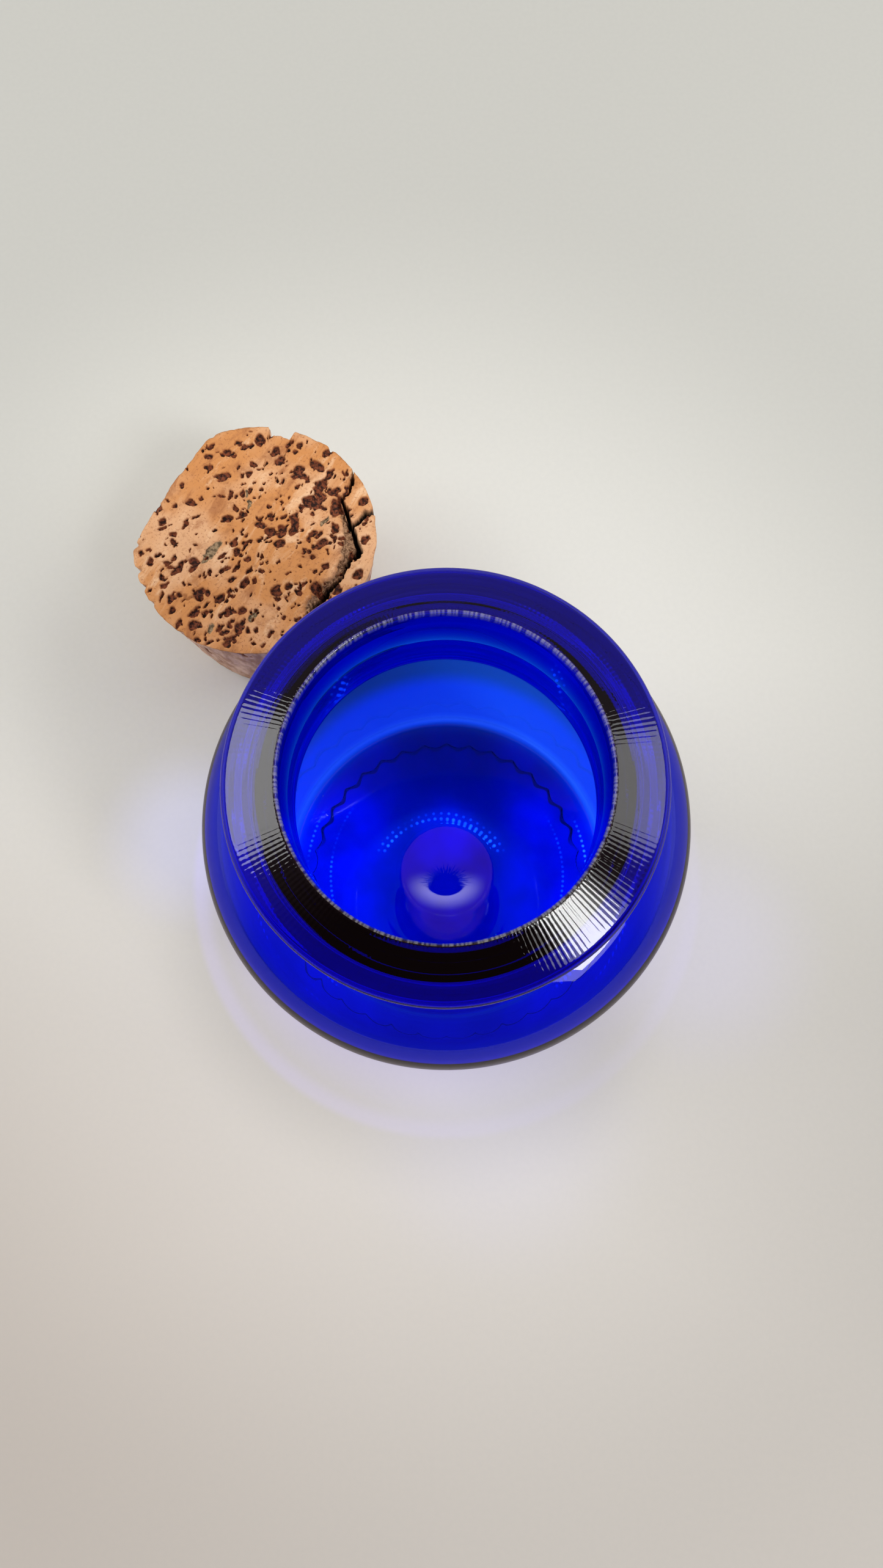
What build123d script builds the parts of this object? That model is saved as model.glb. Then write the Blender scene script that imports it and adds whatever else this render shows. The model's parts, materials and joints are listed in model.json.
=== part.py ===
from build123d import *
import os

# A blown-glass storage jar with a wide mouth, and its tapered bark-cork stopper.
# All sizes are in millimetres. The origin is the centre of the jar's bearing ring, on the jar's
# axis and on the table. +Z is up, through the mouth. The cork stands on the table at the back
# left of the jar, on its small end.

# Glass jar: outside
body_radius = 48.9
shoulder_height = 82.0
foot_radius = 43.8
heel_fillet = 7.0
neck_radius = 31.4
neck_base_height = 98.0
neck_fillet = 2.0
collar_radius = 38.0
collar_underside_height = 110.4
collar_lower_height = 112.8
collar_edge_height = 122.7
collar_fillet = 1.6
collar_edge_fillet = 2.2
mouth_height = 126.7
mouth_fillet = 0.5

# Glass jar: inside
bore_radius = 27.8
wall_thickness = 3.4
ceiling_radius = 36.2
ceiling_height = 94.4
throat_fillet = 8.0
inner_foot_radius = 41.6
floor_edge_height = 5.2
floor_centre_height = 7.8
floor_fillet = 1.6

# Glass jar: underside
bearing_inner_radius = 31.0
push_up = 2.5
valve_mark_radius = 12.0
valve_mark_depth = 0.3
scallop_count = 36
scallop_circle_radius = 40.6
scallop_radius = 6.0
scallop_depth = 0.5
scallop_ball_radius = (scallop_radius**2 + scallop_depth**2) / (2 * scallop_depth)

# Cork stopper
cork_height = 40.0
cork_top_radius = 31.1
cork_bottom_radius = 26.2
cork_edge_chamfer = 0.5
cork_x = -48.3
cork_y = 80.2

# The cork's flattened side, a cut across the bark
flat_distance = 26.0
flat_direction = 150.0

# The notch in the cork's large end, where a bark channel comes out
notch_width = 6.4
notch_depth = 2.6
notch_length = 14.0
notch_direction = 79.0

# The open crack that almost parts a flake from the cork, and its side branch
crack_width = 1.4
crack_depth = 16.0
crack_points = [(23.6, 15.5), (23.4, 7.8), (25.4, 1.0), (24.0, -5.5), (19.6, -13.5), (14.6, -19.0)]
branch_width = 0.9
branch_depth = 7.0
branch_points = [(25.0, 2.6), (28.0, 6.2), (31.5, 7.0)]


def corner(sketch, radius, height):
    """The profile's vertex nearest to a point of the half section."""
    return sketch.vertices().sort_by_distance((radius, height))[0]


# The jar is one turned half section, from the middle of the underside round to the floor.
with BuildPart() as glass_jar:
    with BuildSketch(Plane.XZ) as section:
        with BuildLine():
            TangentArc((0, push_up), (bearing_inner_radius, 0), tangent=(1, 0))
            Line((bearing_inner_radius, 0), (foot_radius, 0))
            TangentArc((body_radius, shoulder_height), (foot_radius, 0), tangent=(0, -1))
            TangentArc((body_radius, shoulder_height), (neck_radius, neck_base_height), tangent=(0, 1))
            Line((neck_radius, neck_base_height), (neck_radius, collar_underside_height))
            Line((neck_radius, collar_underside_height), (collar_radius, collar_lower_height))
            Line((collar_radius, collar_lower_height), (collar_radius, collar_edge_height))
            Line((collar_radius, collar_edge_height), (bore_radius, mouth_height))
            Line((bore_radius, mouth_height), (bore_radius, ceiling_height))
            Line((bore_radius, ceiling_height), (ceiling_radius, ceiling_height))
            TangentArc(
                (body_radius - wall_thickness, shoulder_height),
                (ceiling_radius, ceiling_height),
                tangent=(0, 1),
            )
            TangentArc(
                (body_radius - wall_thickness, shoulder_height),
                (inner_foot_radius, floor_edge_height),
                tangent=(0, -1),
            )
            TangentArc(
                (0, floor_centre_height),
                (inner_foot_radius, floor_edge_height),
                tangent=(1, 0),
            )
            Line((0, floor_centre_height), (0, push_up))
        make_face()
        fillet(corner(section, foot_radius, 0), heel_fillet)
        fillet(corner(section, neck_radius, neck_base_height), neck_fillet)
        fillet(corner(section, neck_radius, collar_underside_height), collar_fillet)
        fillet(corner(section, collar_radius, collar_lower_height), collar_fillet)
        fillet(corner(section, collar_radius, collar_edge_height), collar_edge_fillet)
        fillet(corner(section, bore_radius, mouth_height), mouth_fillet)
        fillet(corner(section, bore_radius, ceiling_height), throat_fillet)
        fillet(corner(section, inner_foot_radius, floor_edge_height), floor_fillet)
    revolve(axis=Axis.Z)

    # The round valve mark in the middle of the underside.
    with BuildSketch(Plane.XY):
        Circle(valve_mark_radius)
    extrude(amount=push_up + valve_mark_depth, mode=Mode.SUBTRACT)

    # Shallow scallops bite into the outer edge of the bearing ring, so the jar doesn't stick when hot.
    with Locations((0, 0, scallop_depth - scallop_ball_radius)):
        with PolarLocations(scallop_circle_radius, scallop_count):
            Sphere(scallop_ball_radius, mode=Mode.SUBTRACT)

glass_jar.part.label = "glass_jar"


# The cork is a tapered plug, large end up.
cork_top = Plane((cork_x, cork_y, cork_height))
with BuildPart() as cork_stopper:
    with BuildSketch(Plane((cork_x, cork_y, 0))):
        Circle(cork_bottom_radius)
    with BuildSketch(cork_top):
        Circle(cork_top_radius)
    loft()
    chamfer(cork_stopper.edges().filter_by(GeomType.CIRCLE), cork_edge_chamfer)

    # The flattened side.
    with BuildSketch(cork_top):
        with PolarLocations(flat_distance, 1, start_angle=flat_direction):
            Rectangle(cork_top_radius, 2 * cork_top_radius, align=(Align.MIN, Align.CENTER))
    extrude(amount=-cork_height, mode=Mode.SUBTRACT)

    # The notch.
    with BuildSketch(cork_top):
        with PolarLocations(cork_top_radius - notch_depth, 1, start_angle=notch_direction):
            Rectangle(2 * notch_depth, notch_width, align=(Align.MIN, Align.CENTER))
    extrude(amount=-notch_length, mode=Mode.SUBTRACT)

    # The crack and its branch.
    with BuildSketch(cork_top):
        with BuildLine():
            Polyline(crack_points)
        trace(line_width=crack_width)
    extrude(amount=-crack_depth, mode=Mode.SUBTRACT)
    with BuildSketch(cork_top):
        with BuildLine():
            Polyline(branch_points)
        trace(line_width=branch_width)
    extrude(amount=-branch_depth, mode=Mode.SUBTRACT)

cork_stopper.part.label = "cork_stopper"


os.makedirs("parts", exist_ok=True)
export_step(glass_jar.part, "parts/glass_jar.step")
export_step(cork_stopper.part, "parts/cork_stopper.step")
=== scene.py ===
"""A cobalt glass jar with its cork stopper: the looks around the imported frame.

Lengths are in millimetres, and MM turns them into metres for Blender. The lights are given in metres,
and the noise in the materials by its scale per metre.
"""
import json
import math

import bpy
import numpy as np
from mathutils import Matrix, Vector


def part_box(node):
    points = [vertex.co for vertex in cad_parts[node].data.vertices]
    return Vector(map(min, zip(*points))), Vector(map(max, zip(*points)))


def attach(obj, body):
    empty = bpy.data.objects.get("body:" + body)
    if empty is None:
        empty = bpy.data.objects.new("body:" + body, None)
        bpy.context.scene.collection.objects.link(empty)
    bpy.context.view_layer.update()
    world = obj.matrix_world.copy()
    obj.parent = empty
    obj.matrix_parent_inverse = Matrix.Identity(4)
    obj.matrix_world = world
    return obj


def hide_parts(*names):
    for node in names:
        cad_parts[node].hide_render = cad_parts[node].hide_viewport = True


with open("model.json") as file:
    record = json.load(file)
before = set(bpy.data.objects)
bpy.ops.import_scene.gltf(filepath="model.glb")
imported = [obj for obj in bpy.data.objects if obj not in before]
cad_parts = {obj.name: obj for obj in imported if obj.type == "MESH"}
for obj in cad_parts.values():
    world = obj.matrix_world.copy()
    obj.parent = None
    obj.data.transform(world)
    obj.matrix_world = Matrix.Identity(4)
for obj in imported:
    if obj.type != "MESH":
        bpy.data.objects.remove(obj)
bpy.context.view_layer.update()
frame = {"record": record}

MM = 0.001
FULL_TURN = 2 * math.pi
scene = bpy.context.scene
mounts = {mount["name"]: mount for mount in frame["record"]["mounts"]}
jar_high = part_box("glass_jar")[1]
cork_low, cork_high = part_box("cork_stopper")


# ---------------------------------------------------------------- noise


class Noise:
    """Seeded value noise in three dimensions, from -1 to 1, worked out for whole arrays."""

    SIZE = 32

    def __init__(self, seed):
        generator = np.random.default_rng(seed)
        self.grid = generator.uniform(-1, 1, (self.SIZE,) * 3)

    def once(self, x, y, z):
        """One octave: random values at whole numbers, joined smoothly."""
        cells = [np.floor(c).astype(int) for c in (x, y, z)]
        parts = [c - i for c, i in zip((x, y, z), cells)]
        smooth = [p * p * (3 - 2 * p) for p in parts]
        total = 0.0
        for corner in np.ndindex(2, 2, 2):
            index = tuple((i + k) % self.SIZE for i, k in zip(cells, corner))
            weight = 1.0
            for s, k in zip(smooth, corner):
                weight = weight * (s if k else 1 - s)
            total = total + weight * self.grid[index]
        return total

    def layered(self, x, y, z, scale, layers=4):
        """Several octaves of noise whose largest features are scale across."""
        total, size = 0.0, 1.0
        for layer in range(layers):
            step = 2**layer / scale
            total = total + size * self.once(x * step + 7 * layer, y * step + 3 * layer, z * step)
            size *= 0.5
        return total


def smooth_step(low, high, x):
    """Goes smoothly from 0 where x is low to 1 where it is high."""
    t = np.clip((x - low) / (high - low), 0, 1)
    return t * t * (3 - 2 * t)


def bump_at(x, centre, width):
    """A smooth bump of height 1 at its centre, which falls to about a third one width away."""
    return np.exp(-(((x - centre) / width) ** 2))


# ---------------------------------------------------------------- meshes


def new_mesh_object(name, vertices_mm, faces, smooth=True):
    mesh = bpy.data.meshes.new(name)
    mesh.from_pydata((np.asarray(vertices_mm) * MM).tolist(), [], [list(map(int, f)) for f in faces])
    mesh.validate()
    mesh.update()
    if smooth:
        mesh.shade_smooth()
    made = bpy.data.objects.new(name, mesh)
    scene.collection.objects.link(made)
    return made


def mark_vertices(piece, name, values):
    """Gives a mesh a number for each vertex, which its material reads by name."""
    layer = piece.data.attributes.new(name, "FLOAT", "POINT")
    layer.data.foreach_set("value", np.asarray(values, np.float32))


def tangent_arc(start, end, tangent, count):
    """Points of the circular arc from start to end that leaves start along tangent."""
    start, end, tangent = (np.array(v, float) for v in (start, end, tangent))
    chord = end - start
    normal = np.array([-tangent[1], tangent[0]])
    radius = chord @ chord / (2 * (chord @ normal))
    centre = start + radius * normal
    a0 = math.atan2(*(start - centre)[::-1])
    a1 = math.atan2(*(end - centre)[::-1])
    turn = (a1 - a0 + math.pi) % FULL_TURN - math.pi
    angles = np.linspace(a0, a0 + turn, count)
    return centre + abs(radius) * np.stack([np.cos(angles), np.sin(angles)], 1)


def rounded(before, corner, after, radius, count):
    """Points of the fillet at a corner, given a point on each side of it."""
    corner = np.array(corner, float)
    a = np.array(before, float) - corner
    b = np.array(after, float) - corner
    a, b = a / np.linalg.norm(a), b / np.linalg.norm(b)
    half = math.acos(np.clip(a @ b, -1, 1)) / 2
    reach = radius / math.tan(half)
    return tangent_arc(corner + reach * a, corner + reach * b, -a, count)


# ---------------------------------------------------------------- glass jar

# The jar's outside. The frame gives the radius of its body and of its bore, and the rest repeats the CAD.
BODY_RADIUS = jar_high.x / MM
SHOULDER_HEIGHT = 82.0
FOOT_RADIUS = 43.8
HEEL_FILLET = 7.0
NECK_RADIUS = 31.4
NECK_BASE_HEIGHT = 98.0
NECK_FILLET = 2.0
COLLAR_RADIUS = 38.0
COLLAR_UNDERSIDE_HEIGHT = 110.4
COLLAR_LOWER_HEIGHT = 112.8
COLLAR_EDGE_HEIGHT = 122.7
COLLAR_FILLET = 1.6
COLLAR_EDGE_FILLET = 2.2
MOUTH_HEIGHT = 126.7
MOUTH_FILLET = 0.5

# Its inside
BORE_RADIUS = mounts["mouth"]["dims"]["r_mm"]
WALL = 3.4
CEILING_RADIUS = 36.2
CEILING_HEIGHT = 94.4
THROAT_FILLET = 8.0
INNER_FOOT_RADIUS = 41.6
FLOOR_EDGE_HEIGHT = 5.2
FLOOR_TOP_HEIGHT = 7.8
FLOOR_FILLET = 1.6

# The dished disc in the middle of the floor, and the valve mark of the same radius below it
DISC_RADIUS = 12.0
DISC_DISH = 0.36
VALVE_MARK_DEPTH = 0.3

# Its underside: a raised middle inside a bearing ring, which carries fine bars and a ring of scallops
PUSH_UP = 2.5
BEARING_INNER = 31.0
BEARING_OUTER = 37.0
BEARING_BARS = 240
BAR_HEIGHT = 0.1
SCALLOPS = 36
SCALLOP_CIRCLE = 40.6
SCALLOP_RADIUS = 6.0
SCALLOP_DEPTH = 0.5

# What the mould and the grinding left on the glass
WOBBLE = 0.12
COLLAR_RIPPLES = 240
RIPPLE_HEIGHT = 0.012
RING_HEIGHT = 0.008
RINGS_PER_MM = 5.5 / FULL_TURN
MOUTH_RIBS = 320
RIB_DEPTH = 0.05
ARRIS_WIDTH = 0.55

# Steps round the jar: FINE ones where it carries ribs or bars
COARSE = 320
FINE = 3 * COARSE


def jar_section():
    """The closed half section, from the middle of the underside round to the middle of the floor.

    It is a list of (radius, height, fine) rows. A fine row is turned with more steps.
    """
    foot = (FOOT_RADIUS, 0.0)
    above_foot = (FOOT_RADIUS + 0.5, 10.0)
    widest = (BODY_RADIUS, SHOULDER_HEIGHT)
    neck_base = (NECK_RADIUS, NECK_BASE_HEIGHT)
    under_collar = (NECK_RADIUS, COLLAR_UNDERSIDE_HEIGHT)
    collar_low = (COLLAR_RADIUS, COLLAR_LOWER_HEIGHT)
    collar_high = (COLLAR_RADIUS, COLLAR_EDGE_HEIGHT)
    mouth = (BORE_RADIUS, MOUTH_HEIGHT)
    throat = (BORE_RADIUS, CEILING_HEIGHT)
    ceiling = (CEILING_RADIUS, CEILING_HEIGHT)
    widest_inside = (BODY_RADIUS - WALL, SHOULDER_HEIGHT)
    inside_foot = (INNER_FOOT_RADIUS, FLOOR_EDGE_HEIGHT)
    over_floor = (0.0, FLOOR_EDGE_HEIGHT + 2.4)

    rows = []

    def add(points, fine=False):
        rows.extend((float(radius), float(height), fine) for radius, height in points)

    def line(start, end, count):
        return np.linspace(start, end, count)

    # The underside, from the valve mark over its step and down the raised middle to the bearing ring
    valve_top = PUSH_UP + VALVE_MARK_DEPTH
    add([(0.0, valve_top)])
    add(line((1.0, valve_top), (DISC_RADIUS - 0.3, valve_top), 12))
    add(line((DISC_RADIUS + 0.3, valve_top - 0.12), (DISC_RADIUS + 1.3, 2.25), 4))
    add(tangent_arc((0, PUSH_UP), (BEARING_INNER, 0), (1, 0), 40)[17:36])
    add(line((BEARING_INNER - 1.2, 0.12), (BEARING_OUTER - 0.4, 0.0), 44), fine=True)

    # The heel, the body and the neck
    heel = rounded((0, 0), foot, above_foot, HEEL_FILLET, 22)
    add(heel[:10], fine=True)
    add(heel[10:])
    wall = tangent_arc(widest, foot, (0, -1), 60)[::-1]
    add(wall[wall[:, 1] > heel[-1][1] + 1])
    shoulder = tangent_arc(widest, neck_base, (0, 1), 40)
    neck_fillet = rounded(shoulder[-6], neck_base, under_collar, NECK_FILLET, 10)
    add(shoulder[1:][shoulder[1:, 1] < neck_fillet[0][1] - 0.2])
    add(neck_fillet)

    # The collar, its cone and the edge of the mouth
    add(rounded(neck_base, under_collar, collar_low, COLLAR_FILLET, 8))
    add(rounded(under_collar, collar_low, collar_high, COLLAR_FILLET, 8))
    edge = rounded(collar_low, collar_high, mouth, COLLAR_EDGE_FILLET, 12)
    rim = rounded(collar_high, mouth, throat, MOUTH_FILLET, 14)
    add(line(collar_low, collar_high, 10)[3:7])
    add(edge[:3])
    add(edge[3:], fine=True)
    add(line(edge[-1], rim[0], 30)[1:-1], fine=True)
    add(rim, fine=True)

    # The bore, the throat, the ceiling under the shoulder and the inside wall
    throat_fillet = rounded(mouth, throat, ceiling, THROAT_FILLET, 28)
    add(line(rim[-1], throat_fillet[0], 18)[1:-1])
    add(throat_fillet)
    add(tangent_arc(widest_inside, ceiling, (0, 1), 30)[::-1][1:])
    inside = tangent_arc(widest_inside, inside_foot, (0, -1), 60)
    floor_fillet = rounded(inside[-4], inside_foot, over_floor, FLOOR_FILLET, 12)
    add(inside[1:][inside[1:, 1] > floor_fillet[0][1] + 0.8])
    add(floor_fillet)

    # The floor, up to the step round its disc and across the dish
    add(line(floor_fillet[-1], (DISC_RADIUS + 0.8, FLOOR_TOP_HEIGHT - 0.05), 26)[1:])
    add(line((DISC_RADIUS + 0.3, FLOOR_TOP_HEIGHT), (DISC_RADIUS - 0.2, FLOOR_TOP_HEIGHT + 0.02), 3))
    dish = np.linspace(DISC_RADIUS - 0.5, 0.35, 36)
    add(np.stack([dish, FLOOR_TOP_HEIGHT - DISC_DISH * (1 - (dish / DISC_RADIUS) ** 2)], 1))
    add([(0.0, FLOOR_TOP_HEIGHT - DISC_DISH)])
    return rows


def shape_glass(radius, height, angle):
    """Moves the turned surface by what the mould left on it: returns the new radius and height."""
    wobble = Noise(3)
    x, y = np.cos(angle) * 2.2, np.sin(angle) * 2.2
    radius = radius + WOBBLE * wobble.once(x + 9, y + 9, height / 25 + 5) * smooth_step(20, 40, radius)

    # Faint ripples and rings on the collar's cone, and ribs round the mouth's edge
    cone = smooth_step(COLLAR_EDGE_HEIGHT + 0.2, COLLAR_EDGE_HEIGHT + 1.0, height)
    rim = (height > MOUTH_HEIGHT - 1) * (1 - smooth_step(BORE_RADIUS + 0.5, BORE_RADIUS + 1.2, radius))
    height = height + RIPPLE_HEIGHT * cone * (1 - rim) * np.sin(COLLAR_RIPPLES * angle)
    height = height + RING_HEIGHT * cone * (1 - rim) * np.sin(radius * RINGS_PER_MM * FULL_TURN)
    height = height - RIB_DEPTH * rim * (0.5 + 0.5 * np.cos(MOUTH_RIBS * angle))

    # Bars and scallops on the bearing ring
    under = (height < 1.5) & (radius > BEARING_INNER - 2)
    reach = smooth_step(BEARING_INNER - 1.4, BEARING_INNER - 0.6, radius)
    reach = reach * (1 - smooth_step(BEARING_OUTER + 0.6, BEARING_OUTER + 1.6, radius))
    bars = BAR_HEIGHT * reach * (0.5 + 0.5 * np.cos(BEARING_BARS * angle))
    across = (angle * SCALLOPS / FULL_TURN) % 1 - 0.5
    across = across * FULL_TURN * SCALLOP_CIRCLE / SCALLOPS
    edge = SCALLOP_CIRCLE - np.sqrt(SCALLOP_RADIUS**2 - across**2)
    scallop = SCALLOP_DEPTH * smooth_step(-0.1, 0.4, radius - edge)
    height = np.where(under, np.maximum(height + bars, scallop), height)
    return radius, height


def arris_grind(radius, height, angle):
    """How rough the mouth's ground edge is, from 0 on clear glass to 1, in fine radial strokes."""
    strokes = Noise(8)
    on_edge = (radius > BORE_RADIUS - 0.3) & (radius < BORE_RADIUS + ARRIS_WIDTH)
    on_edge = on_edge & (height > MOUTH_HEIGHT - 1.2)
    fine = strokes.once(angle * MOUTH_RIBS / 2, 0 * angle, 0 * angle)
    broad = strokes.once(angle * 5, 0 * angle + 9, 0 * angle)
    return on_edge * np.clip(0.4 + 0.6 * fine + 0.25 * broad, 0.05, 1.0)


def faces_between(first, second):
    """The faces that join two neighbouring rings, each given as (its first vertex, how many it has)."""
    (a, a_count), (b, b_count) = first, second
    if a_count == 1:
        return [(a, b + (i + 1) % b_count, b + i) for i in range(b_count)]
    if b_count == 1:
        return [(b, a + i, a + (i + 1) % a_count) for i in range(a_count)]
    if a_count == b_count:
        return [(a + i, a + (i + 1) % a_count, b + (i + 1) % a_count, b + i) for i in range(a_count)]

    # Three fine steps meet each coarse one.
    coarse, fine, flip = (a, b, False) if a_count < b_count else (b, a, True)
    faces = []
    for i in range(COARSE):
        j = (i + 1) % COARSE
        f = [fine + (3 * i + k) % FINE for k in range(4)]
        fan = [
            (coarse + i, f[1], f[0]),
            (coarse + i, coarse + j, f[1]),
            (f[1], coarse + j, f[2]),
            (f[2], coarse + j, f[3]),
        ]
        faces.extend(tuple(reversed(triangle)) if flip else triangle for triangle in fan)
    return faces


def build_jar():
    vertices, grind, rings = [], [], []
    for radius, height, fine in jar_section():
        count = FINE if fine else COARSE
        if radius == 0.0:
            count = 1
        rings.append((len(vertices), count))
        if count == 1:
            vertices.append((0.0, 0.0, height))
            grind.append(0.0)
            continue
        angle = np.linspace(0, FULL_TURN, count, endpoint=False)
        r, h = shape_glass(np.full(count, radius), np.full(count, height), angle)
        vertices.extend(zip(r * np.cos(angle), r * np.sin(angle), h))
        grind.extend(arris_grind(r, h, angle))
    faces = [face for pair in zip(rings, rings[1:]) for face in faces_between(*pair)]
    glass = new_mesh_object("jar_glass", vertices, faces)
    mark_vertices(glass, "ground", grind)
    return glass


# ---------------------------------------------------------------- cork

CORK_HEIGHT = cork_high.z / MM
CORK_TOP_RADIUS = 31.1
CORK_BOTTOM_RADIUS = 26.2
CORK_X = cork_high.x / MM - CORK_TOP_RADIUS
CORK_Y = cork_low.y / MM + CORK_TOP_RADIUS
FLAT_DISTANCE = 26.1
FLAT_DIRECTION = math.radians(150)
NOTCH_DIRECTION = math.radians(79)
NOTCH_DEPTH = 2.35
GRAIN_DEGREES = 57
GRAIN = math.radians(GRAIN_DEGREES)
CRACK_DEPTH = 7.0
BRANCH_DEPTH = 4.0
FINE_CRACK_DEPTH = 0.7
SMALL_PITS = 420

# The cork's mesh: steps round it, rings across its top and its small end, and rows down its side
CORK_SPOKES = 760
CORK_RINGS = 116
CORK_ROWS = 90
END_RINGS = 40

# Places on the cork's top are (x, y) from its middle.
CRACK = [
    (24.6, 19.5), (23.8, 12.8), (22.4, 9.8), (23.5, 5.2), (25.2, 0.2), (26.0, -3.2),
    (24.3, -6.4), (22.8, -10.2), (20.6, -12.4), (17.3, -16.7), (15.6, -19.0), (12.0, -24.0),
]
BRANCH = [(24.4, 3.0), (26.4, 4.4), (27.8, 6.8), (30.8, 6.2)]
FINE_CRACK = [(-18.0, -15.2), (-16.0, -16.2), (-14.6, -15.6), (-12.4, -16.4)]
# Nicks in the top's rim: the direction in degrees and the depth.
NICKS = [(184.5, 1.0), (197.0, 1.4), (206.0, 1.1), (215.0, 0.8), (236.0, 0.5), (52.0, 0.6), (113.0, 0.5)]

# Large pits: x, y, length, width and the angle of the length in degrees.
PITS = [
    (10.3, 18.3, 3.6, 2.4, 30), (12.0, 16.4, 2.8, 1.7, -30), (15.3, 19.4, 4.4, 2.2, -42),
    (17.8, 23.1, 2.3, 1.9, 0), (16.3, 13.8, 5.0, 2.8, 70), (18.4, 17.0, 4.6, 1.4, 52),
    (19.7, 12.3, 3.2, 2.4, 20), (13.8, 9.8, 4.2, 3.4, 0), (17.1, 8.1, 1.7, 1.3, 0),
    (20.3, 7.8, 4.8, 2.8, 80), (9.8, 3.6, 6.4, 2.4, 78), (6.8, 1.6, 3.6, 2.0, 80),
    (3.8, 1.6, 2.8, 2.4, 0), (1.4, 3.4, 3.0, 1.8, 150), (7.1, 5.8, 2.4, 1.1, 50),
    (14.3, 0.8, 2.2, 1.6, 10), (16.8, -1.5, 3.2, 2.6, 20), (20.0, 2.8, 2.8, 1.4, 100),
    (20.3, -0.7, 2.2, 1.1, 90), (5.8, 20.8, 3.6, 2.0, 48), (4.3, 23.6, 2.8, 2.0, 60),
    (8.3, 25.8, 3.0, 1.3, 55), (10.8, 25.3, 2.2, 1.2, 60), (0.6, 26.6, 3.6, 2.8, 70),
    (-3.2, 24.8, 2.8, 2.0, 40), (-1.2, 20.1, 1.9, 1.3, 0), (-8.0, 23.3, 2.2, 1.7, 30),
    (-12.2, 25.1, 1.8, 1.3, 40), (-10.2, 16.5, 1.8, 1.3, 0), (-6.7, 11.5, 2.9, 1.4, 62),
    (-3.7, 12.0, 2.2, 1.5, 80), (-9.2, 11.3, 1.6, 1.1, 0), (-16.5, 9.3, 2.4, 1.6, 150),
    (-5.2, 8.1, 1.8, 1.1, 90), (-7.0, 5.1, 2.9, 2.2, 10), (-3.6, 5.9, 3.4, 1.1, 48),
    (-17.7, 3.6, 3.6, 1.1, 62), (-15.2, 5.5, 2.3, 1.0, 30), (-20.6, 0.9, 1.9, 1.7, 0),
    (-19.9, -1.3, 2.1, 1.1, 120), (-2.0, -2.0, 4.4, 1.1, 42), (-3.3, -4.6, 1.6, 1.1, 30),
    (1.8, -5.2, 1.5, 1.1, 60), (6.4, -1.5, 2.8, 2.0, 30), (14.7, -5.4, 2.1, 1.6, 80),
    (18.0, -7.7, 2.2, 1.8, 70), (-18.7, -7.9, 4.4, 1.5, 66), (-22.8, -10.4, 1.9, 1.2, 20),
    (-26.0, -6.2, 2.3, 1.5, 70), (-24.2, -4.8, 1.6, 1.0, 20), (-11.0, -9.4, 1.8, 1.1, 90),
    (-8.0, -9.2, 2.1, 1.3, 60), (-4.2, -8.2, 2.6, 1.0, 45), (-2.1, -11.9, 3.4, 1.8, 62),
    (0.3, -11.7, 1.9, 1.1, 80), (-0.8, -8.6, 2.8, 0.9, 55), (6.0, -14.2, 3.2, 2.3, 70),
    (9.1, -13.2, 2.3, 1.6, 60), (11.4, -14.6, 1.8, 1.3, 20), (12.1, -13.2, 2.2, 1.0, 80),
    (16.0, -13.4, 3.2, 2.8, 60), (21.2, -14.4, 2.3, 2.0, 30), (26.3, -9.9, 3.2, 2.2, 48),
    (28.2, -0.7, 2.4, 1.6, 80), (27.3, 9.8, 3.4, 2.3, 30), (-8.0, -16.2, 3.6, 1.7, 56),
    (-13.2, -16.2, 2.2, 1.7, 20), (-22.7, -15.7, 3.2, 1.0, 85), (-20.0, -19.3, 2.8, 1.6, 55),
    (-12.0, -20.2, 2.1, 1.6, 60), (-15.0, -20.2, 1.9, 1.4, 10), (-5.6, -19.9, 3.9, 1.7, 8),
    (-2.6, -19.5, 2.3, 1.8, 70), (-14.2, -23.2, 3.2, 2.6, 60), (-18.0, -22.9, 2.9, 1.1, 52),
    (-5.2, -27.2, 4.2, 1.3, 52), (-10.0, -27.9, 2.1, 1.2, 20), (-13.2, -26.9, 1.6, 1.2, 0),
    (0.5, -28.2, 1.3, 1.2, 0), (4.6, -25.7, 2.6, 1.0, 62), (22.8, 17.4, 1.3, 1.2, 0),
]
# Pits filled with a grey-green crust.
CRUSTS = [
    (-10.8, -4.2, 8.2, 2.4, 50), (0.5, -20.9, 3.6, 1.3, 58), (-10.0, -24.2, 3.2, 1.7, 50),
    (17.3, 4.2, 3.4, 1.1, 45), (-1.6, 8.8, 2.6, 1.0, 85), (-2.2, 11.8, 2.2, 1.3, 100),
]


def distance_to_path(x, y, path):
    """The distance from each point to a path, and how far along the path that is, from 0 to 1."""
    nearest = np.full(x.shape, 1e9)
    along = np.zeros(x.shape)
    steps = [math.dist(a, b) for a, b in zip(path, path[1:])]
    done = 0.0
    for (ax, ay), (bx, by), step in zip(path, path[1:], steps):
        t = np.clip(((x - ax) * (bx - ax) + (y - ay) * (by - ay)) / step**2, 0, 1)
        d = np.hypot(x - ax - t * (bx - ax), y - ay - t * (by - ay))
        closer = d < nearest
        nearest = np.where(closer, d, nearest)
        along = np.where(closer, done + t * step, along)
        done += step
    return nearest, along / done


def small_pits():
    """Seeded small pits all over the top, thicker on the ground where the real cork has more of them."""
    generator = np.random.default_rng(11)
    made = []
    while len(made) < SMALL_PITS:
        x, y = generator.uniform(-30, 30, 2)
        bare = math.exp(-(((x - 9) / 8) ** 2) - (((y + 7) / 5) ** 2))
        bare += math.exp(-(((x + 13) / 7) ** 2) - (((y - 6) / 9) ** 2))
        if math.hypot(x, y) > 29.5 or generator.random() < 0.85 * bare:
            continue
        length = 0.5 + generator.gamma(2.0, 0.35)
        angle = GRAIN_DEGREES + generator.normal(0, 22)
        made.append((x, y, length, length * generator.uniform(0.4, 0.9), angle))
    return made


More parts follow.
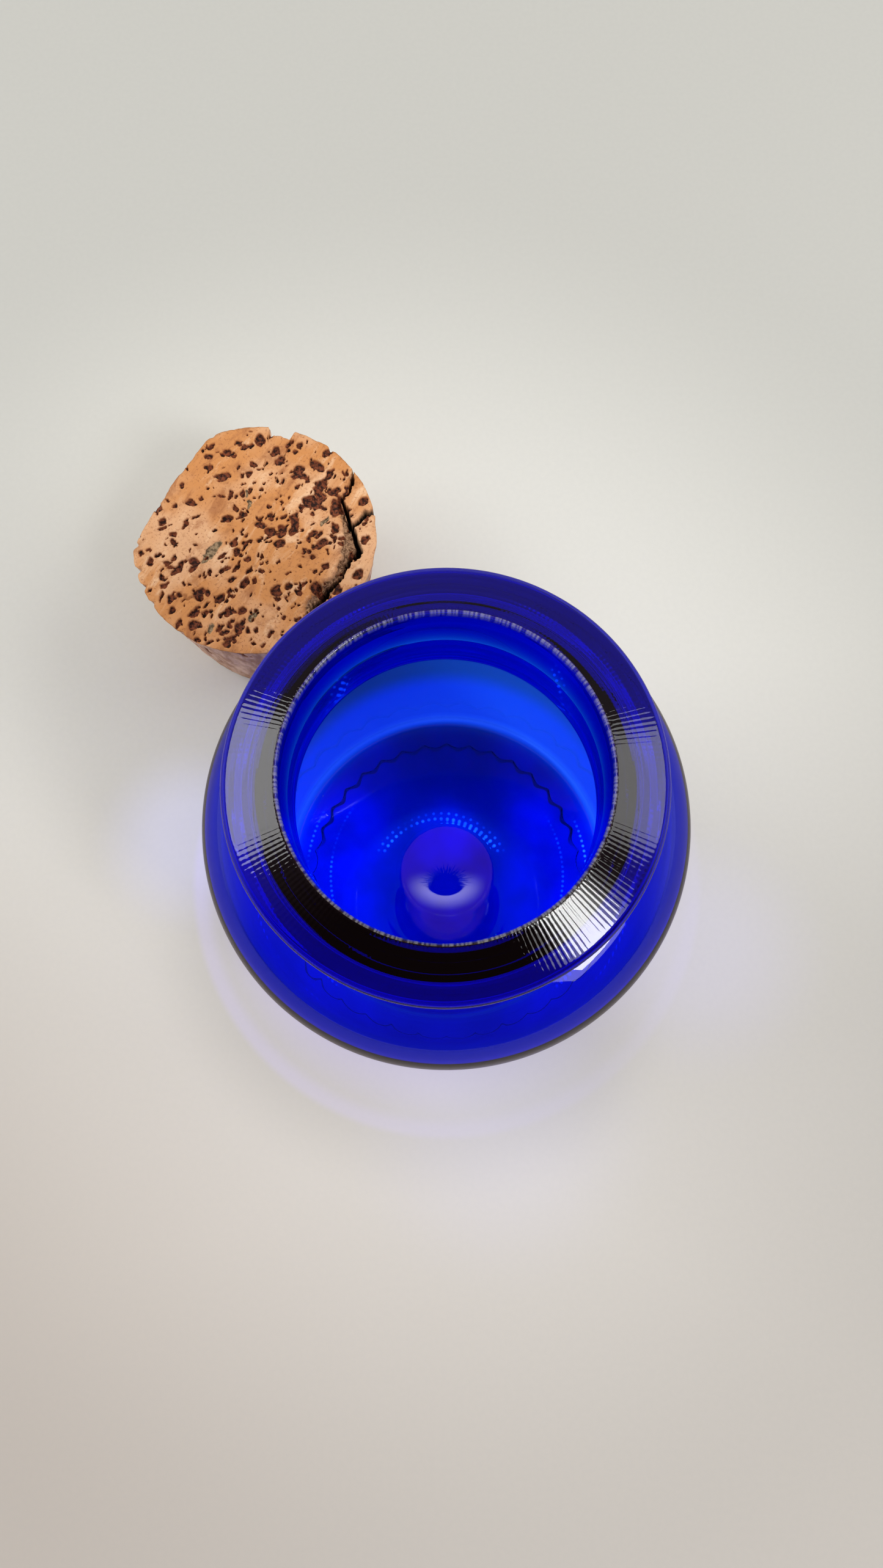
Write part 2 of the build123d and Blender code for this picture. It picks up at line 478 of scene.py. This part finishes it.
def pit_mask(x, y, pits, seed):
    """From 0 on sound cork to 1 inside a pit, with ragged edges."""
    ragged = Noise(seed)
    wx = x + 0.5 * ragged.layered(x, y, 0 * x + 1.5, 1.5, 4)
    wy = y + 0.5 * ragged.layered(x, y, 0 * x + 9.5, 1.5, 4)
    mask = np.zeros(x.shape)
    for px, py, length, width, degrees in pits:
        near = np.flatnonzero(np.abs(x - px) + np.abs(y - py) < 1.5 * length + 2)
        if near.size == 0:
            continue
        a = math.radians(degrees)
        dx, dy = wx[near] - px, wy[near] - py
        u = (dx * math.cos(a) + dy * math.sin(a)) / (length / 2)
        v = (dy * math.cos(a) - dx * math.sin(a)) / (width / 2)
        inside = 1 - smooth_step(0.7, 1.15, np.hypot(u, v))
        mask[near] = np.maximum(mask[near], inside)
    return mask


def turn_from(angle, direction):
    """How far each angle is from a direction, from minus half a turn to half a turn."""
    return (angle - direction + math.pi) % FULL_TURN - math.pi


def cork_outline(angle, z):
    """The cork's radius at each angle and height."""
    rough = Noise(21)
    full = CORK_BOTTOM_RADIUS + (CORK_TOP_RADIUS - CORK_BOTTOM_RADIUS) * z / CORK_HEIGHT
    turn = turn_from(angle, FLAT_DIRECTION)
    flat = FLAT_DISTANCE / np.maximum(np.cos(turn), 0.3) - 0.9 * (np.abs(turn) / 0.55) ** 2
    radius = -0.5 * np.log(np.exp(-2 * (full - 0.25)) + np.exp(-2 * flat))
    x, y = 30 * np.cos(angle), 30 * np.sin(angle)
    radius = radius + 0.16 * rough.layered(x, y, z, 6.0) - 0.2
    radius = radius + 0.13 * rough.layered(x, y, z / 2, 1.8, 3)
    near_top = smooth_step(CORK_HEIGHT - 9, CORK_HEIGHT - 1, z)
    across = turn_from(angle, NOTCH_DIRECTION) * 30 + 0.25 * rough.layered(x, y, z, 2.0)
    notch = smooth_step(-3.5, -2.9, across) * (1 - smooth_step(2.6, 3.3, across))
    radius = radius - (NOTCH_DEPTH + 0.3 * rough.layered(x, y, z + 40, 1.5)) * notch * near_top
    for degrees, depth in NICKS:
        across = turn_from(angle, math.radians(degrees)) * 30
        at_rim = smooth_step(CORK_HEIGHT - 5, CORK_HEIGHT - 1, z)
        radius = radius - depth * bump_at(across, 0, 0.75) * at_rim
    return radius


def crack_shape(x, y):
    """The crack's depth, and how far a place lies in the crumbling hollow beside it."""
    rough = Noise(31)
    shift = 0.6 * rough.layered(x, y, 0 * x, 3.4) + 0.3 * rough.layered(x, y, 0 * x + 8, 1.1, 3)
    far, along = distance_to_path(x + shift, y - shift, CRACK)
    width = 0.34 + 0.14 * bump_at(along, 0.38, 0.12) + 0.25 * bump_at(along, 0.75, 0.2)
    width = width * smooth_step(-0.02, 0.08, along)
    cut = CRACK_DEPTH * (1 - smooth_step(width * 0.6, width * 1.5, far))
    branch, _ = distance_to_path(x + shift, y + shift, BRANCH)
    cut = np.maximum(cut, BRANCH_DEPTH * (1 - smooth_step(0.3, 0.75, branch)))
    fine, _ = distance_to_path(x + shift, y + shift, FINE_CRACK)
    cut = np.maximum(cut, FINE_CRACK_DEPTH * (1 - smooth_step(0.12, 0.38, fine)))
    reach = 2.2 + 2.6 * bump_at(y, -2.5, 4.5) + 0.8 * bump_at(y, -14, 5)
    reach = reach + 0.5 * rough.layered(x, y, 0 * x + 4, 1.6, 3)
    hollow = 1 - smooth_step(0.35 * reach, reach, far)
    hollow = hollow * smooth_step(-22.0, -16.0, y) * (1 - smooth_step(8.0, 14.0, y))
    near_side = x < 25.9 - 0.35 * np.abs(y + 3.2) - 0.25 * np.maximum(-y - 6, 0)
    return cut, hollow * near_side


def cork_top(x, y):
    """How far the top lies below the cork's height, with the masks that its material uses."""
    rough = Noise(41)
    u = x * math.cos(GRAIN) + y * math.sin(GRAIN)
    v = y * math.cos(GRAIN) - x * math.sin(GRAIN)
    pits = np.maximum(pit_mask(x, y, PITS, 51), 0.85 * pit_mask(x, y, small_pits(), 52))
    crust = pit_mask(x, y, CRUSTS, 53)
    cut, hollow = crack_shape(x, y)
    sink = 0.16 + 0.12 * rough.layered(x, y, 0 * x + 3, 11.0, 3)
    sink = sink + 0.05 * rough.layered(u / 3.5, v, 0 * x + 6, 1.3, 2)
    crumbs = 0.5 + 0.5 * rough.layered(x, y, 0 * x + 12, 0.9, 3)
    sink = sink + pits * (0.65 + 0.45 * crumbs) + crust * (0.25 + 0.3 * crumbs)
    sink = sink + hollow * (1.3 + 1.1 * crumbs) + cut
    return np.maximum(sink, 0.0), pits, crust, hollow, smooth_step(0.3, 1.6, cut)


def build_cork():
    spokes = CORK_SPOKES
    angle = np.linspace(0, FULL_TURN, spokes, endpoint=False)
    rough = Noise(61)
    rows, masks = [], []

    rim = cork_outline(angle, np.full(spokes, CORK_HEIGHT))
    for t in np.linspace(0.004, 1, CORK_RINGS):
        x, y = t * rim * np.cos(angle), t * rim * np.sin(angle)
        sink, pits, crust, hollow, cut = cork_top(x, y)
        edge = smooth_step(0.975, 1.0, t) * (0.3 + 0.25 * rough.layered(x, y, 0 * x, 3.0))
        rows.append((x, y, CORK_HEIGHT - sink - np.maximum(edge, 0.05) * (t > 0.97)))
        masks.append((pits, crust, hollow, cut, np.zeros(spokes)))

    rim_sink = CORK_HEIGHT - rows[-1][2]
    for level in np.linspace(0, 1, CORK_ROWS + 1)[1:]:
        top = CORK_HEIGHT - rim_sink
        z = top * (1 - level) ** 1.15
        radius = cork_outline(angle, z)
        x, y = radius * np.cos(angle), radius * np.sin(angle)
        streak = rough.layered(x, y, z / 3.5 + 20, 2.6, 3)
        pits = smooth_step(0.52, 0.85, streak) * smooth_step(0.0, 0.05, level)
        radius = radius - 0.55 * pits - 0.05 * (1 + rough.layered(x, y, z, 0.9, 2))
        radius = radius - 0.4 * smooth_step(0.985, 1.0, level)
        rows.append((radius * np.cos(angle), radius * np.sin(angle), z))
        side = np.full(spokes, smooth_step(0.0, 0.03, level))
        masks.append((pits, 0 * pits, 0 * pits, 0 * pits, side))

    floor_rim = np.hypot(rows[-1][0], rows[-1][1])
    for t in np.linspace(1, 0.01, END_RINGS)[1:]:
        x, y = t * floor_rim * np.cos(angle), t * floor_rim * np.sin(angle)
        pits = smooth_step(0.5, 0.7, rough.layered(x, y, 0 * x + 50, 3.0, 3))
        rows.append((x, y, 0.6 * pits * smooth_step(1.0, 0.97, t)))
        masks.append((pits, 0 * pits, 0 * pits, 0 * pits, np.zeros(spokes)))

    vertices = np.concatenate([np.stack(row, 1) for row in rows]) + (CORK_X, CORK_Y, 0)
    start = np.arange(spokes)
    following = (start + 1) % spokes
    faces = []
    for row in range(len(rows) - 1):
        a, b = row * spokes, (row + 1) * spokes
        faces.append(np.stack([a + start, b + start, b + following, a + following], 1))
    faces = np.concatenate(faces).tolist()
    last = (len(rows) - 1) * spokes
    faces.append(list(range(spokes)))
    faces.append(list(range(last + spokes - 1, last - 1, -1)))
    cork = new_mesh_object("cork_body", vertices, faces)
    for name, values in zip(("pit", "crust", "crumb", "crack", "side"), zip(*masks)):
        mark_vertices(cork, name, np.concatenate(values))
    return cork


# ---------------------------------------------------------------- materials


class Shading:
    """Makes shader nodes. A value is a number, a colour as a tuple, or another node's output."""

    def __init__(self, tree):
        self.tree = tree

    def add(self, kind):
        return self.tree.nodes.new("ShaderNode" + kind)

    def fill(self, socket, value):
        if isinstance(value, tuple):
            socket.default_value = (*value, 1)
        elif isinstance(value, (int, float)):
            socket.default_value = value
        else:
            self.tree.links.new(value, socket)

    def maths(self, operation, first, second=0.0):
        node = self.add("Math")
        node.operation = operation
        self.fill(node.inputs[0], first)
        self.fill(node.inputs[1], second)
        return node.outputs[0]

    def plus(self, total, *others):
        for other in others:
            total = self.maths("ADD", total, other)
        return total

    def minus(self, first, second):
        return self.maths("SUBTRACT", first, second)

    def times(self, product, *others):
        for other in others:
            product = self.maths("MULTIPLY", product, other)
        return product

    def length(self, x, y):
        return self.maths("SQRT", self.plus(self.times(x, x), self.times(y, y)))

    def ease(self, value, low, high, to_low=0.0, to_high=1.0, interpolation="SMOOTHSTEP"):
        """Goes from to_low where value is low to to_high where it is high, and no further."""
        node = self.add("MapRange")
        node.interpolation_type = interpolation
        limits = {"From Min": low, "From Max": high, "To Min": to_low, "To Max": to_high}
        for name, number in limits.items():
            node.inputs[name].default_value = number
        self.fill(node.inputs["Value"], value)
        return node.outputs["Result"]

    def blend(self, factor, first, second, kind="MIX"):
        node = self.add("Mix")
        node.data_type = "RGBA"
        node.blend_type = kind
        # Several sockets of a mix node share a name, so its two colours go by number.
        sockets = (node.inputs["Factor"], node.inputs[6], node.inputs[7])
        for socket, value in zip(sockets, (factor, first, second)):
            self.fill(socket, value)
        return node.outputs[2]

    def tinted(self, first, second):
        """One colour or grey level times another."""
        return self.blend(1.0, first, second, "MULTIPLY")

    def noise(self, vector, scale, detail=4.0, roughness=0.6, distortion=0.0):
        node = self.add("TexNoise")
        settings = {"Scale": scale, "Detail": detail, "Roughness": roughness, "Distortion": distortion}
        for name, number in settings.items():
            node.inputs[name].default_value = number
        self.fill(node.inputs["Vector"], vector)
        return node.outputs["Fac"]

    def mask(self, name):
        """A number that the mesh carries at each vertex."""
        node = self.add("Attribute")
        node.attribute_name = name
        return node.outputs["Fac"]

    def place(self, kind="Object"):
        return self.add("TexCoord").outputs[kind]

    def split(self, vector):
        node = self.add("SeparateXYZ")
        self.fill(node.inputs[0], vector)
        return [node.outputs[axis] for axis in "XYZ"]

    def mirrored(self):
        """1 for a ray that has just been mirrored, and 0 for a diffuse one or one through glass."""
        path = self.add("LightPath")
        made = self.minus(path.outputs["Is Glossy Ray"], path.outputs["Is Transmission Ray"])
        made.node.use_clamp = True
        return made


def new_material(name):
    material = bpy.data.materials.new(name)
    material.use_nodes = True
    tree = material.node_tree
    return material, Shading(tree), tree.nodes["Principled BSDF"].inputs


def cobalt_glass():
    """Clear blue glass. The tint is all in the volume, so thick places are deeper than thin ones."""
    material, shading, surface = new_material("cobalt_glass")
    surface["Base Color"].default_value = (1, 1, 1, 1)
    surface["IOR"].default_value = 1.52
    ground = shading.mask("ground")
    shading.fill(surface["Transmission Weight"], shading.ease(ground, 0.0, 1.0, 1.0, 0.86, "LINEAR"))
    shading.fill(surface["Roughness"], shading.ease(ground, 0.0, 1.0, 0.0, 0.4, "LINEAR"))
    volume = shading.add("VolumeAbsorption")
    volume.inputs["Color"].default_value = (0.0, 0.56, 0.972, 1)
    volume.inputs["Density"].default_value = 1200.0
    output = material.node_tree.nodes["Material Output"]
    shading.fill(output.inputs["Volume"], volume.outputs["Volume"])
    return material


def natural_cork():
    """Tan cork with a flowing grain, dark red-brown pits, grey-green crusts, a dull crack painted near black
    with shade, and a side lightened with painted light.
    """
    material, shading, surface = new_material("natural_cork")
    ease, blend, noise, mask = shading.ease, shading.blend, shading.noise, shading.mask
    place = shading.place()

    def stretched(rotation, scale):
        node = shading.add("Mapping")
        node.vector_type = "TEXTURE"
        node.inputs["Rotation"].default_value = (0, 0, rotation)
        node.inputs["Scale"].default_value = scale
        shading.fill(node.inputs["Vector"], place)
        return node.outputs["Vector"]

    broad = noise(place, 45, 3)
    flow = noise(stretched(GRAIN, (3.2, 1.0, 1.0)), 260, 5, 0.62, 0.6)
    speckle = noise(place, 1500, 3, 0.7)
    stain = noise(place, 150, 4, 0.7)

    # The top: two tans, pale and dark grain, speckles and stains
    colour = blend(ease(broad, 0.40, 0.60), (0.56, 0.235, 0.075), (0.66, 0.36, 0.185))
    colour = blend(ease(flow, 0.52, 0.72), colour, (0.74, 0.455, 0.26))
    colour = blend(ease(flow, 0.47, 0.28, 0.0, 0.85), colour, (0.36, 0.130, 0.042))
    colour = blend(ease(speckle, 0.54, 0.70, 0.0, 0.7), colour, (0.29, 0.100, 0.036))
    colour = blend(ease(stain, 0.54, 0.70, 0.0, 0.6), colour, (0.34, 0.130, 0.045))

    # The side, whose grain runs up and down, in its own tones lightened with painted light against the shade
    # it stands in
    upright = noise(stretched(0.0, (1.0, 1.0, 4.0)), 400, 5)
    side = blend(ease(upright, 0.35, 0.68), (0.46, 0.25, 0.155), (0.78, 0.53, 0.39))
    colour = blend(mask("side"), colour, side)

    # The crusts, the crumbling hollow, the pits with a stained edge, and the crack, painted near black as
    # shade inside it
    crust = blend(ease(noise(place, 1100), 0.38, 0.62), (0.075, 0.048, 0.024), (0.33, 0.225, 0.125))
    colour = blend(ease(mask("crust"), 0.1, 0.75), colour, crust)
    crumb = blend(ease(noise(place, 1300, 4, 0.7), 0.38, 0.62), (0.10, 0.042, 0.018), (0.43, 0.25, 0.135))
    colour = blend(ease(mask("crumb"), 0.15, 0.6), colour, crumb)
    core = blend(ease(noise(place, 1000), 0.40, 0.62), (0.022, 0.007, 0.004), (0.20, 0.050, 0.018))
    halo = blend(ease(mask("pit"), 0.0, 0.42, 0.0, 0.8), colour, (0.30, 0.088, 0.026))
    colour = blend(ease(mask("pit"), 0.3, 0.7), halo, core)
    # Painted shade: the crack is painted near black, as shade inside it.
    colour = blend(mask("crack"), colour, (0.012, 0.008, 0.006))
    shading.fill(surface["Base Color"], colour)
    shading.fill(surface["Roughness"], ease(flow, 0.2, 0.8, 0.78, 0.96))
    surface["Specular IOR Level"].default_value = 0.3

    bump = shading.add("Bump")
    bump.inputs["Strength"].default_value = 0.5
    bump.inputs["Distance"].default_value = 0.25 * MM
    shading.fill(bump.inputs["Height"], shading.plus(speckle, flow))
    shading.fill(surface["Normal"], bump.outputs["Normal"])
    return material


# ---------------------------------------------------------------- the stage


def build_camera():
    data = bpy.data.cameras.new("camera")
    data.lens = 26.65
    data.sensor_width = 36
    camera = bpy.data.objects.new("camera", data)
    camera.location = (0.6 * MM, -41.7 * MM, 312.5 * MM)
    camera.rotation_euler = (math.radians(12.08), math.radians(0.36), math.radians(0.08))
    scene.collection.objects.link(camera)
    scene.camera = camera


def ramp_stops(ramp, stops):
    """Sets a colour ramp to (position, (red, green, blue)) stops."""
    for element, (place, colour) in zip(ramp.elements, (stops[0], stops[-1])):
        element.position = place
        element.color = (*colour, 1)
    for place, colour in stops[1:-1]:
        ramp.elements.new(place).color = (*colour, 1)


# Light on the table. Its places are measured from the jar's axis.
WAVE_RADIUS = 34.9
WAVE_HEIGHT = 0.7
ARC_X = -1.5
ARC_Y = -2.5
ARC_RADIUS = 18.0
HALO_RADIUS = 67.0
# Paper colours: the back, painted shade at the front, a painted shadow in the near left corner, and a darker
# paper painted into mirror reflections.
PAPER_BACK = (0.80, 0.795, 0.745)
PAPER_FRONT = (0.735, 0.685, 0.635)
PAPER_CORNER_SHADOW = (0.63, 0.55, 0.49)
MIRRORED_PAPER_SHADE = (0.50, 0.46, 0.50)
POOL_COLOUR = (0.0, 0.012, 1.0)
# The colour of the painted glints, in rows on the table.
GLINT_DOT_COLOUR = (9.0, 3.4, 4.0)
VIOLET = (0.22, 0.12, 1.0)
# Pale violet patches beside the jar: x, y, how far each reaches, and its light.
SPILLS = [
    (-70, 10, 29, (0.10, 0.11, 0.24)),
    (68, -20, 38, (0.02, 0.02, 0.10)),
    (14, -64, 46, (0.015, 0.02, 0.08)),
]


class TableTop(Shading):
    """Pale paper, and on it painted light: the light that the jar throws, and painted glints of its glass.
    """

    def __init__(self, tree):
        super().__init__(tree)
        self.origin = self.place()
        self.x, self.y = (self.maths("DIVIDE", axis, MM) for axis in self.split(self.origin)[:2])
        self.middle = self.distance_from(0, 0)
        self.patches = self.noise(self.origin, 90, 2.0, 0.5)

    def distance_from(self, x, y):
        return self.length(self.minus(self.x, x), self.minus(self.y, y))

    def paper(self):
        """Warmer and darker at the front and near left as painted shade, lighter near the jar as painted
        light, painted shade just before it, and a darker paper painted into mirror reflections.
        """
        x, y, ease = self.x, self.y, self.ease
        fibres = self.noise(self.origin, 700, 5.0, 0.5)
        # Painted shade: the paper turns darker and warmer towards the front.
        colour = self.blend(ease(y, -220, 160), PAPER_FRONT, PAPER_BACK)
        # Painted shadow in the near left corner.
        corner = ease(self.distance_from(-150, -140), 200, 20, 0.0, 0.55)
        colour = self.blend(corner, colour, PAPER_CORNER_SHADOW)
        colour = self.blend(ease(fibres, 0.3, 0.7, 0.0, 0.05), colour, (0.5, 0.5, 0.5))
        # Painted light: the paper is lit brighter near the jar and fades darker away from it.
        colour = self.tinted(colour, ease(self.distance_from(-20, 20), 50, 200, 0.84, 0.585))
        # Painted reflection: the glass mirrors a darker paper than the camera sees.
        colour = self.blend(self.mirrored(), colour, self.tinted(colour, MIRRORED_PAPER_SHADE))
        # Painted shadow on the paper just in front of the jar.
        shade = self.times(ease(self.middle, 87, 64, 0.0, 0.13), ease(y, -5, -28), ease(x, 62, 35))
        return self.blend(shade, colour, (0.0, 0.0, 0.0))

    def pool(self):
        """The blue light under the glass: bright at the sides and in the middle, with a wavy dark line."""
        x, y, ease = self.x, self.y, self.ease
        edge = ease(self.distance_from(0, 9), 53, 47)
        under = ease(self.middle, 45, 40)
        level = self.plus(0.30, self.times(ease(self.maths("ABSOLUTE", x), 10, 24), 0.55))
        level = self.plus(level, ease(self.distance_from(0, 10), 12, 3, 0.0, 0.5))
        level = self.times(level, ease(self.patches, 0.3, 0.7, 0.7, 1.2), ease(y, 30, 12, 0.35, 1.0))
        level = self.plus(self.times(level, under), self.times(self.minus(1.0, under), 0.75))
        angle = self.maths("ARCTAN2", y, x)
        wave = self.times(self.maths("COSINE", self.times(angle, SCALLOPS)), WAVE_HEIGHT)
        off_wave = self.maths("ABSOLUTE", self.minus(self.middle, self.plus(wave, WAVE_RADIUS)))
        line = self.times(ease(off_wave, 0.60, 0.28), ease(y, 4, 12))
        return self.times(level, self.minus(1.0, line), edge)

    def dotted_ring(self, centre_x, centre_y, radius, count, size):
        """Round spots of light evenly set round a circle, each a little brighter or fainter."""
        angle = self.maths("ARCTAN2", self.minus(self.y, centre_y), self.minus(self.x, centre_x))
        along = self.minus(self.maths("FRACT", self.times(angle, count / FULL_TURN)), 0.5)
        along = self.times(along, FULL_TURN * radius / count)
        across = self.minus(self.distance_from(centre_x, centre_y), radius)
        spots = self.ease(self.length(along, across), size, 0.35 * size)
        return self.times(spots, self.ease(self.patches, 0.40, 0.62, 0.05, 1.0))

    def dots(self):
        """Two rows of painted glints of the glass, which show at the left and right, and the double arc of
        painted light behind the disc with a faint glow.
        """
        x, y, ease = self.x, self.y, self.ease
        at_left = self.times(ease(x, -22, -28), ease(y, 20, 8))
        at_right = self.times(ease(x, 24, 30), ease(y, 18, 6))
        inner_row = self.dotted_ring(0, 0, 31.0, 150, 0.45)
        outer_row = self.dotted_ring(0, 0, 37.4, 168, 0.48)
        arc = self.dotted_ring(ARC_X, ARC_Y, ARC_RADIUS - 0.6, 66, 0.55)
        outer_arc = self.dotted_ring(ARC_X, ARC_Y, ARC_RADIUS + 0.9, 58, 0.5)
        off_arc = self.maths("ABSOLUTE", self.minus(self.distance_from(ARC_X, ARC_Y), ARC_RADIUS))
        return self.plus(
            self.times(inner_row, self.plus(at_left, self.times(at_right, 0.5))),
            self.times(outer_row, self.plus(at_right, self.times(at_left, 0.6))),
            self.times(arc, ease(y, 5, 8)),
            self.times(outer_arc, ease(y, 5, 9), 0.5),
            self.times(ease(off_arc, 4, 0), ease(y, 3, 10), 0.025),
        )

    def halo(self):
        """A violet ring outside the jar and a soft light inside it, stronger at the left and front."""
        side = self.times(self.ease(self.x, 30, -50, 0.35, 1.0), self.ease(self.y, 50, 0))
        outside = self.ease(self.middle, HALO_RADIUS + 2.5, HALO_RADIUS + 0.2)
        ring = self.times(self.ease(self.middle, HALO_RADIUS - 4.5, HALO_RADIUS - 0.5), outside, 0.12)
        inside = self.ease(self.middle, HALO_RADIUS + 1, HALO_RADIUS - 17, 0.0, 0.20)
        return self.times(self.plus(ring, inside), side)

    def light(self):
        total = self.tinted(POOL_COLOUR, self.pool())
        total = self.blend(1.0, total, self.tinted(VIOLET, self.halo()), "ADD")
        total = self.blend(1.0, total, self.tinted(GLINT_DOT_COLOUR, self.dots()), "ADD")
        for x, y, reach, colour in SPILLS:
            spill = self.tinted(colour, self.ease(self.distance_from(x, y), reach, 6))
            total = self.blend(1.0, total, spill, "ADD")
        return total


def table_top():
    material, shading, surface = new_material("table_top")
    table = TableTop(shading.tree)
    surface["Roughness"].default_value = 0.75
    surface["Specular IOR Level"].default_value = 0.2
    table.fill(surface["Base Color"], table.paper())
    table.fill(surface["Emission Color"], table.light())
    surface["Emission Strength"].default_value = 1.0
    return material


def build_floor():
    radius, middle_y, count = 700, 60, 96
    turns = [FULL_TURN * i / count for i in range(count)]
    rim = [(radius * math.cos(t), middle_y + radius * math.sin(t), 0) for t in turns]
    floor = new_mesh_object("table", rim, [range(count)], smooth=False)
    floor.data.materials.append(table_top())


# The lamp painted into the mirrored room above the jar: the middle of its direction, and its half sizes, as
# parts of a unit direction.
LAMP_X = 0.0
LAMP_Y = 0.155
LAMP_HALF_WIDTH = 0.034
LAMP_HALF_DEPTH = 0.024
FRINGE_WAVES = (41, 67)
FRINGE_DEPTH = 0.2
MIRRORED_LAMP_LIT = (5.0, 4.7, 4.8)
MIRRORED_LAMP_DARK = (0.0, 0.0, 0.01)

# The room's colours by height, from the horizon and below at 0 to straight above at 1
PALE_ROOM = [
    (0.0, (0.62, 0.60, 0.57)),
    (0.25, (0.72, 0.70, 0.67)),
    (0.75, (0.93, 0.92, 0.89)),
    (1.0, (0.86, 0.85, 0.83)),
]
# The darker room, painted into mirror reflections only.
DARK_ROOM = [
    (0.0, (0.55, 0.53, 0.52)),
    (0.2, (0.4, 0.37, 0.38)),
    (0.45, (0.26, 0.2, 0.22)),
    (0.8, (0.3, 0.2, 0.24)),
    (0.985, (0.45, 0.16, 0.22)),
]
DARK_FRONT = (0.07, 0.035, 0.04)


def build_world():
    """A pale soft room. Mirror reflections see a darker one painted in, as black cards give in a glass
    studio.
    """
    world = bpy.data.worlds.new("room")
    scene.world = world
    world.use_nodes = True
    background = world.node_tree.nodes["Background"]
    shading = Shading(world.node_tree)
    ease, blend, times, maths = shading.ease, shading.blend, shading.times, shading.maths
    x, y, z = shading.split(shading.place("Generated"))

    def height_ramp(stops):
        node = shading.add("ValToRGB")
        node.color_ramp.interpolation = "EASE"
        ramp_stops(node.color_ramp, stops)
        shading.fill(node.inputs["Fac"], z)
        return node.outputs["Color"]

    pale = shading.tinted(height_ramp(PALE_ROOM), ease(y, -0.9, 0.3, 0.78, 1.0))
    dark = blend(ease(y, -0.5, 0.05, 1.0, 0.0), height_ramp(DARK_ROOM), DARK_FRONT)

    # Painted reflection: in the room that only mirror reflections see, nearly straight above hangs a small
    # dark lamp, ragged on its near side, with a painted bright patch round its far side. The jar's floor
    # mirrors it.
    east = maths("DIVIDE", shading.minus(x, LAMP_X), LAMP_HALF_WIDTH)
    north = maths("DIVIDE", shading.minus(y, LAMP_Y), LAMP_HALF_DEPTH)
    out = shading.length(east, north)
    around = maths("ARCTAN2", north, east)
    waves = [maths("SINE", times(around, count)) for count in FRINGE_WAVES]
    fringe = times(shading.plus(*waves), FRINGE_DEPTH, ease(north, 0.6, -0.1))
    above = ease(z, 0.5, 0.6)
    lit = times(ease(out, 2.2, 0.9), ease(north, -0.9, 0.8), above)
    lamp = times(ease(shading.minus(out, fringe), 1.06, 0.96), above)
    dark = blend(lit, dark, MIRRORED_LAMP_LIT)
    dark = blend(lamp, dark, MIRRORED_LAMP_DARK)

    shading.fill(background.inputs["Color"], blend(shading.mirrored(), pale, dark))
    background.inputs["Strength"].default_value = 1.0


# Where the lights point, in metres: the middle of the jar's neck.
AIM = np.array([0, 0, 0.1])


def softbox(name, azimuth, elevation, distance, width, height, radiance):
    """A rectangular light that faces the jar: azimuth in degrees from +X, sizes and distance in metres."""
    data = bpy.data.lights.new(name, "AREA")
    data.shape = "RECTANGLE"
    data.size = width
    data.size_y = height
    data.energy = radiance * math.pi * width * height
    light = bpy.data.objects.new(name, data)
    a, e = math.radians(azimuth), math.radians(elevation)
    towards = np.array([math.cos(e) * math.cos(a), math.cos(e) * math.sin(a), math.sin(e)])
    light.location = AIM + distance * towards
    light.rotation_euler = (math.pi / 2 - e, 0, a + math.pi / 2)
    light.visible_camera = False
    light.visible_transmission = False
    scene.collection.objects.link(light)


# ---------------------------------------------------------------- assembly

scene.view_settings.view_transform = "Standard"
build_camera()
build_floor()
build_world()
softbox("left_window", 166, 39, 2.0, 1.2, 0.8, 4.2)
softbox("right_window", 12, 39, 2.0, 1.0, 0.8, 2.6)
softbox("front_right_window", -36, 47, 2.0, 0.36, 0.6, 17.0)
softbox("front_right_haze", -35, 47, 2.05, 0.75, 1.0, 2.6)

jar = build_jar()
jar.data.materials.append(cobalt_glass())
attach(jar, "jar")
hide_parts("glass_jar")

cork = build_cork()
cork.data.materials.append(natural_cork())
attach(cork, "cork")
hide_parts("cork_stopper")
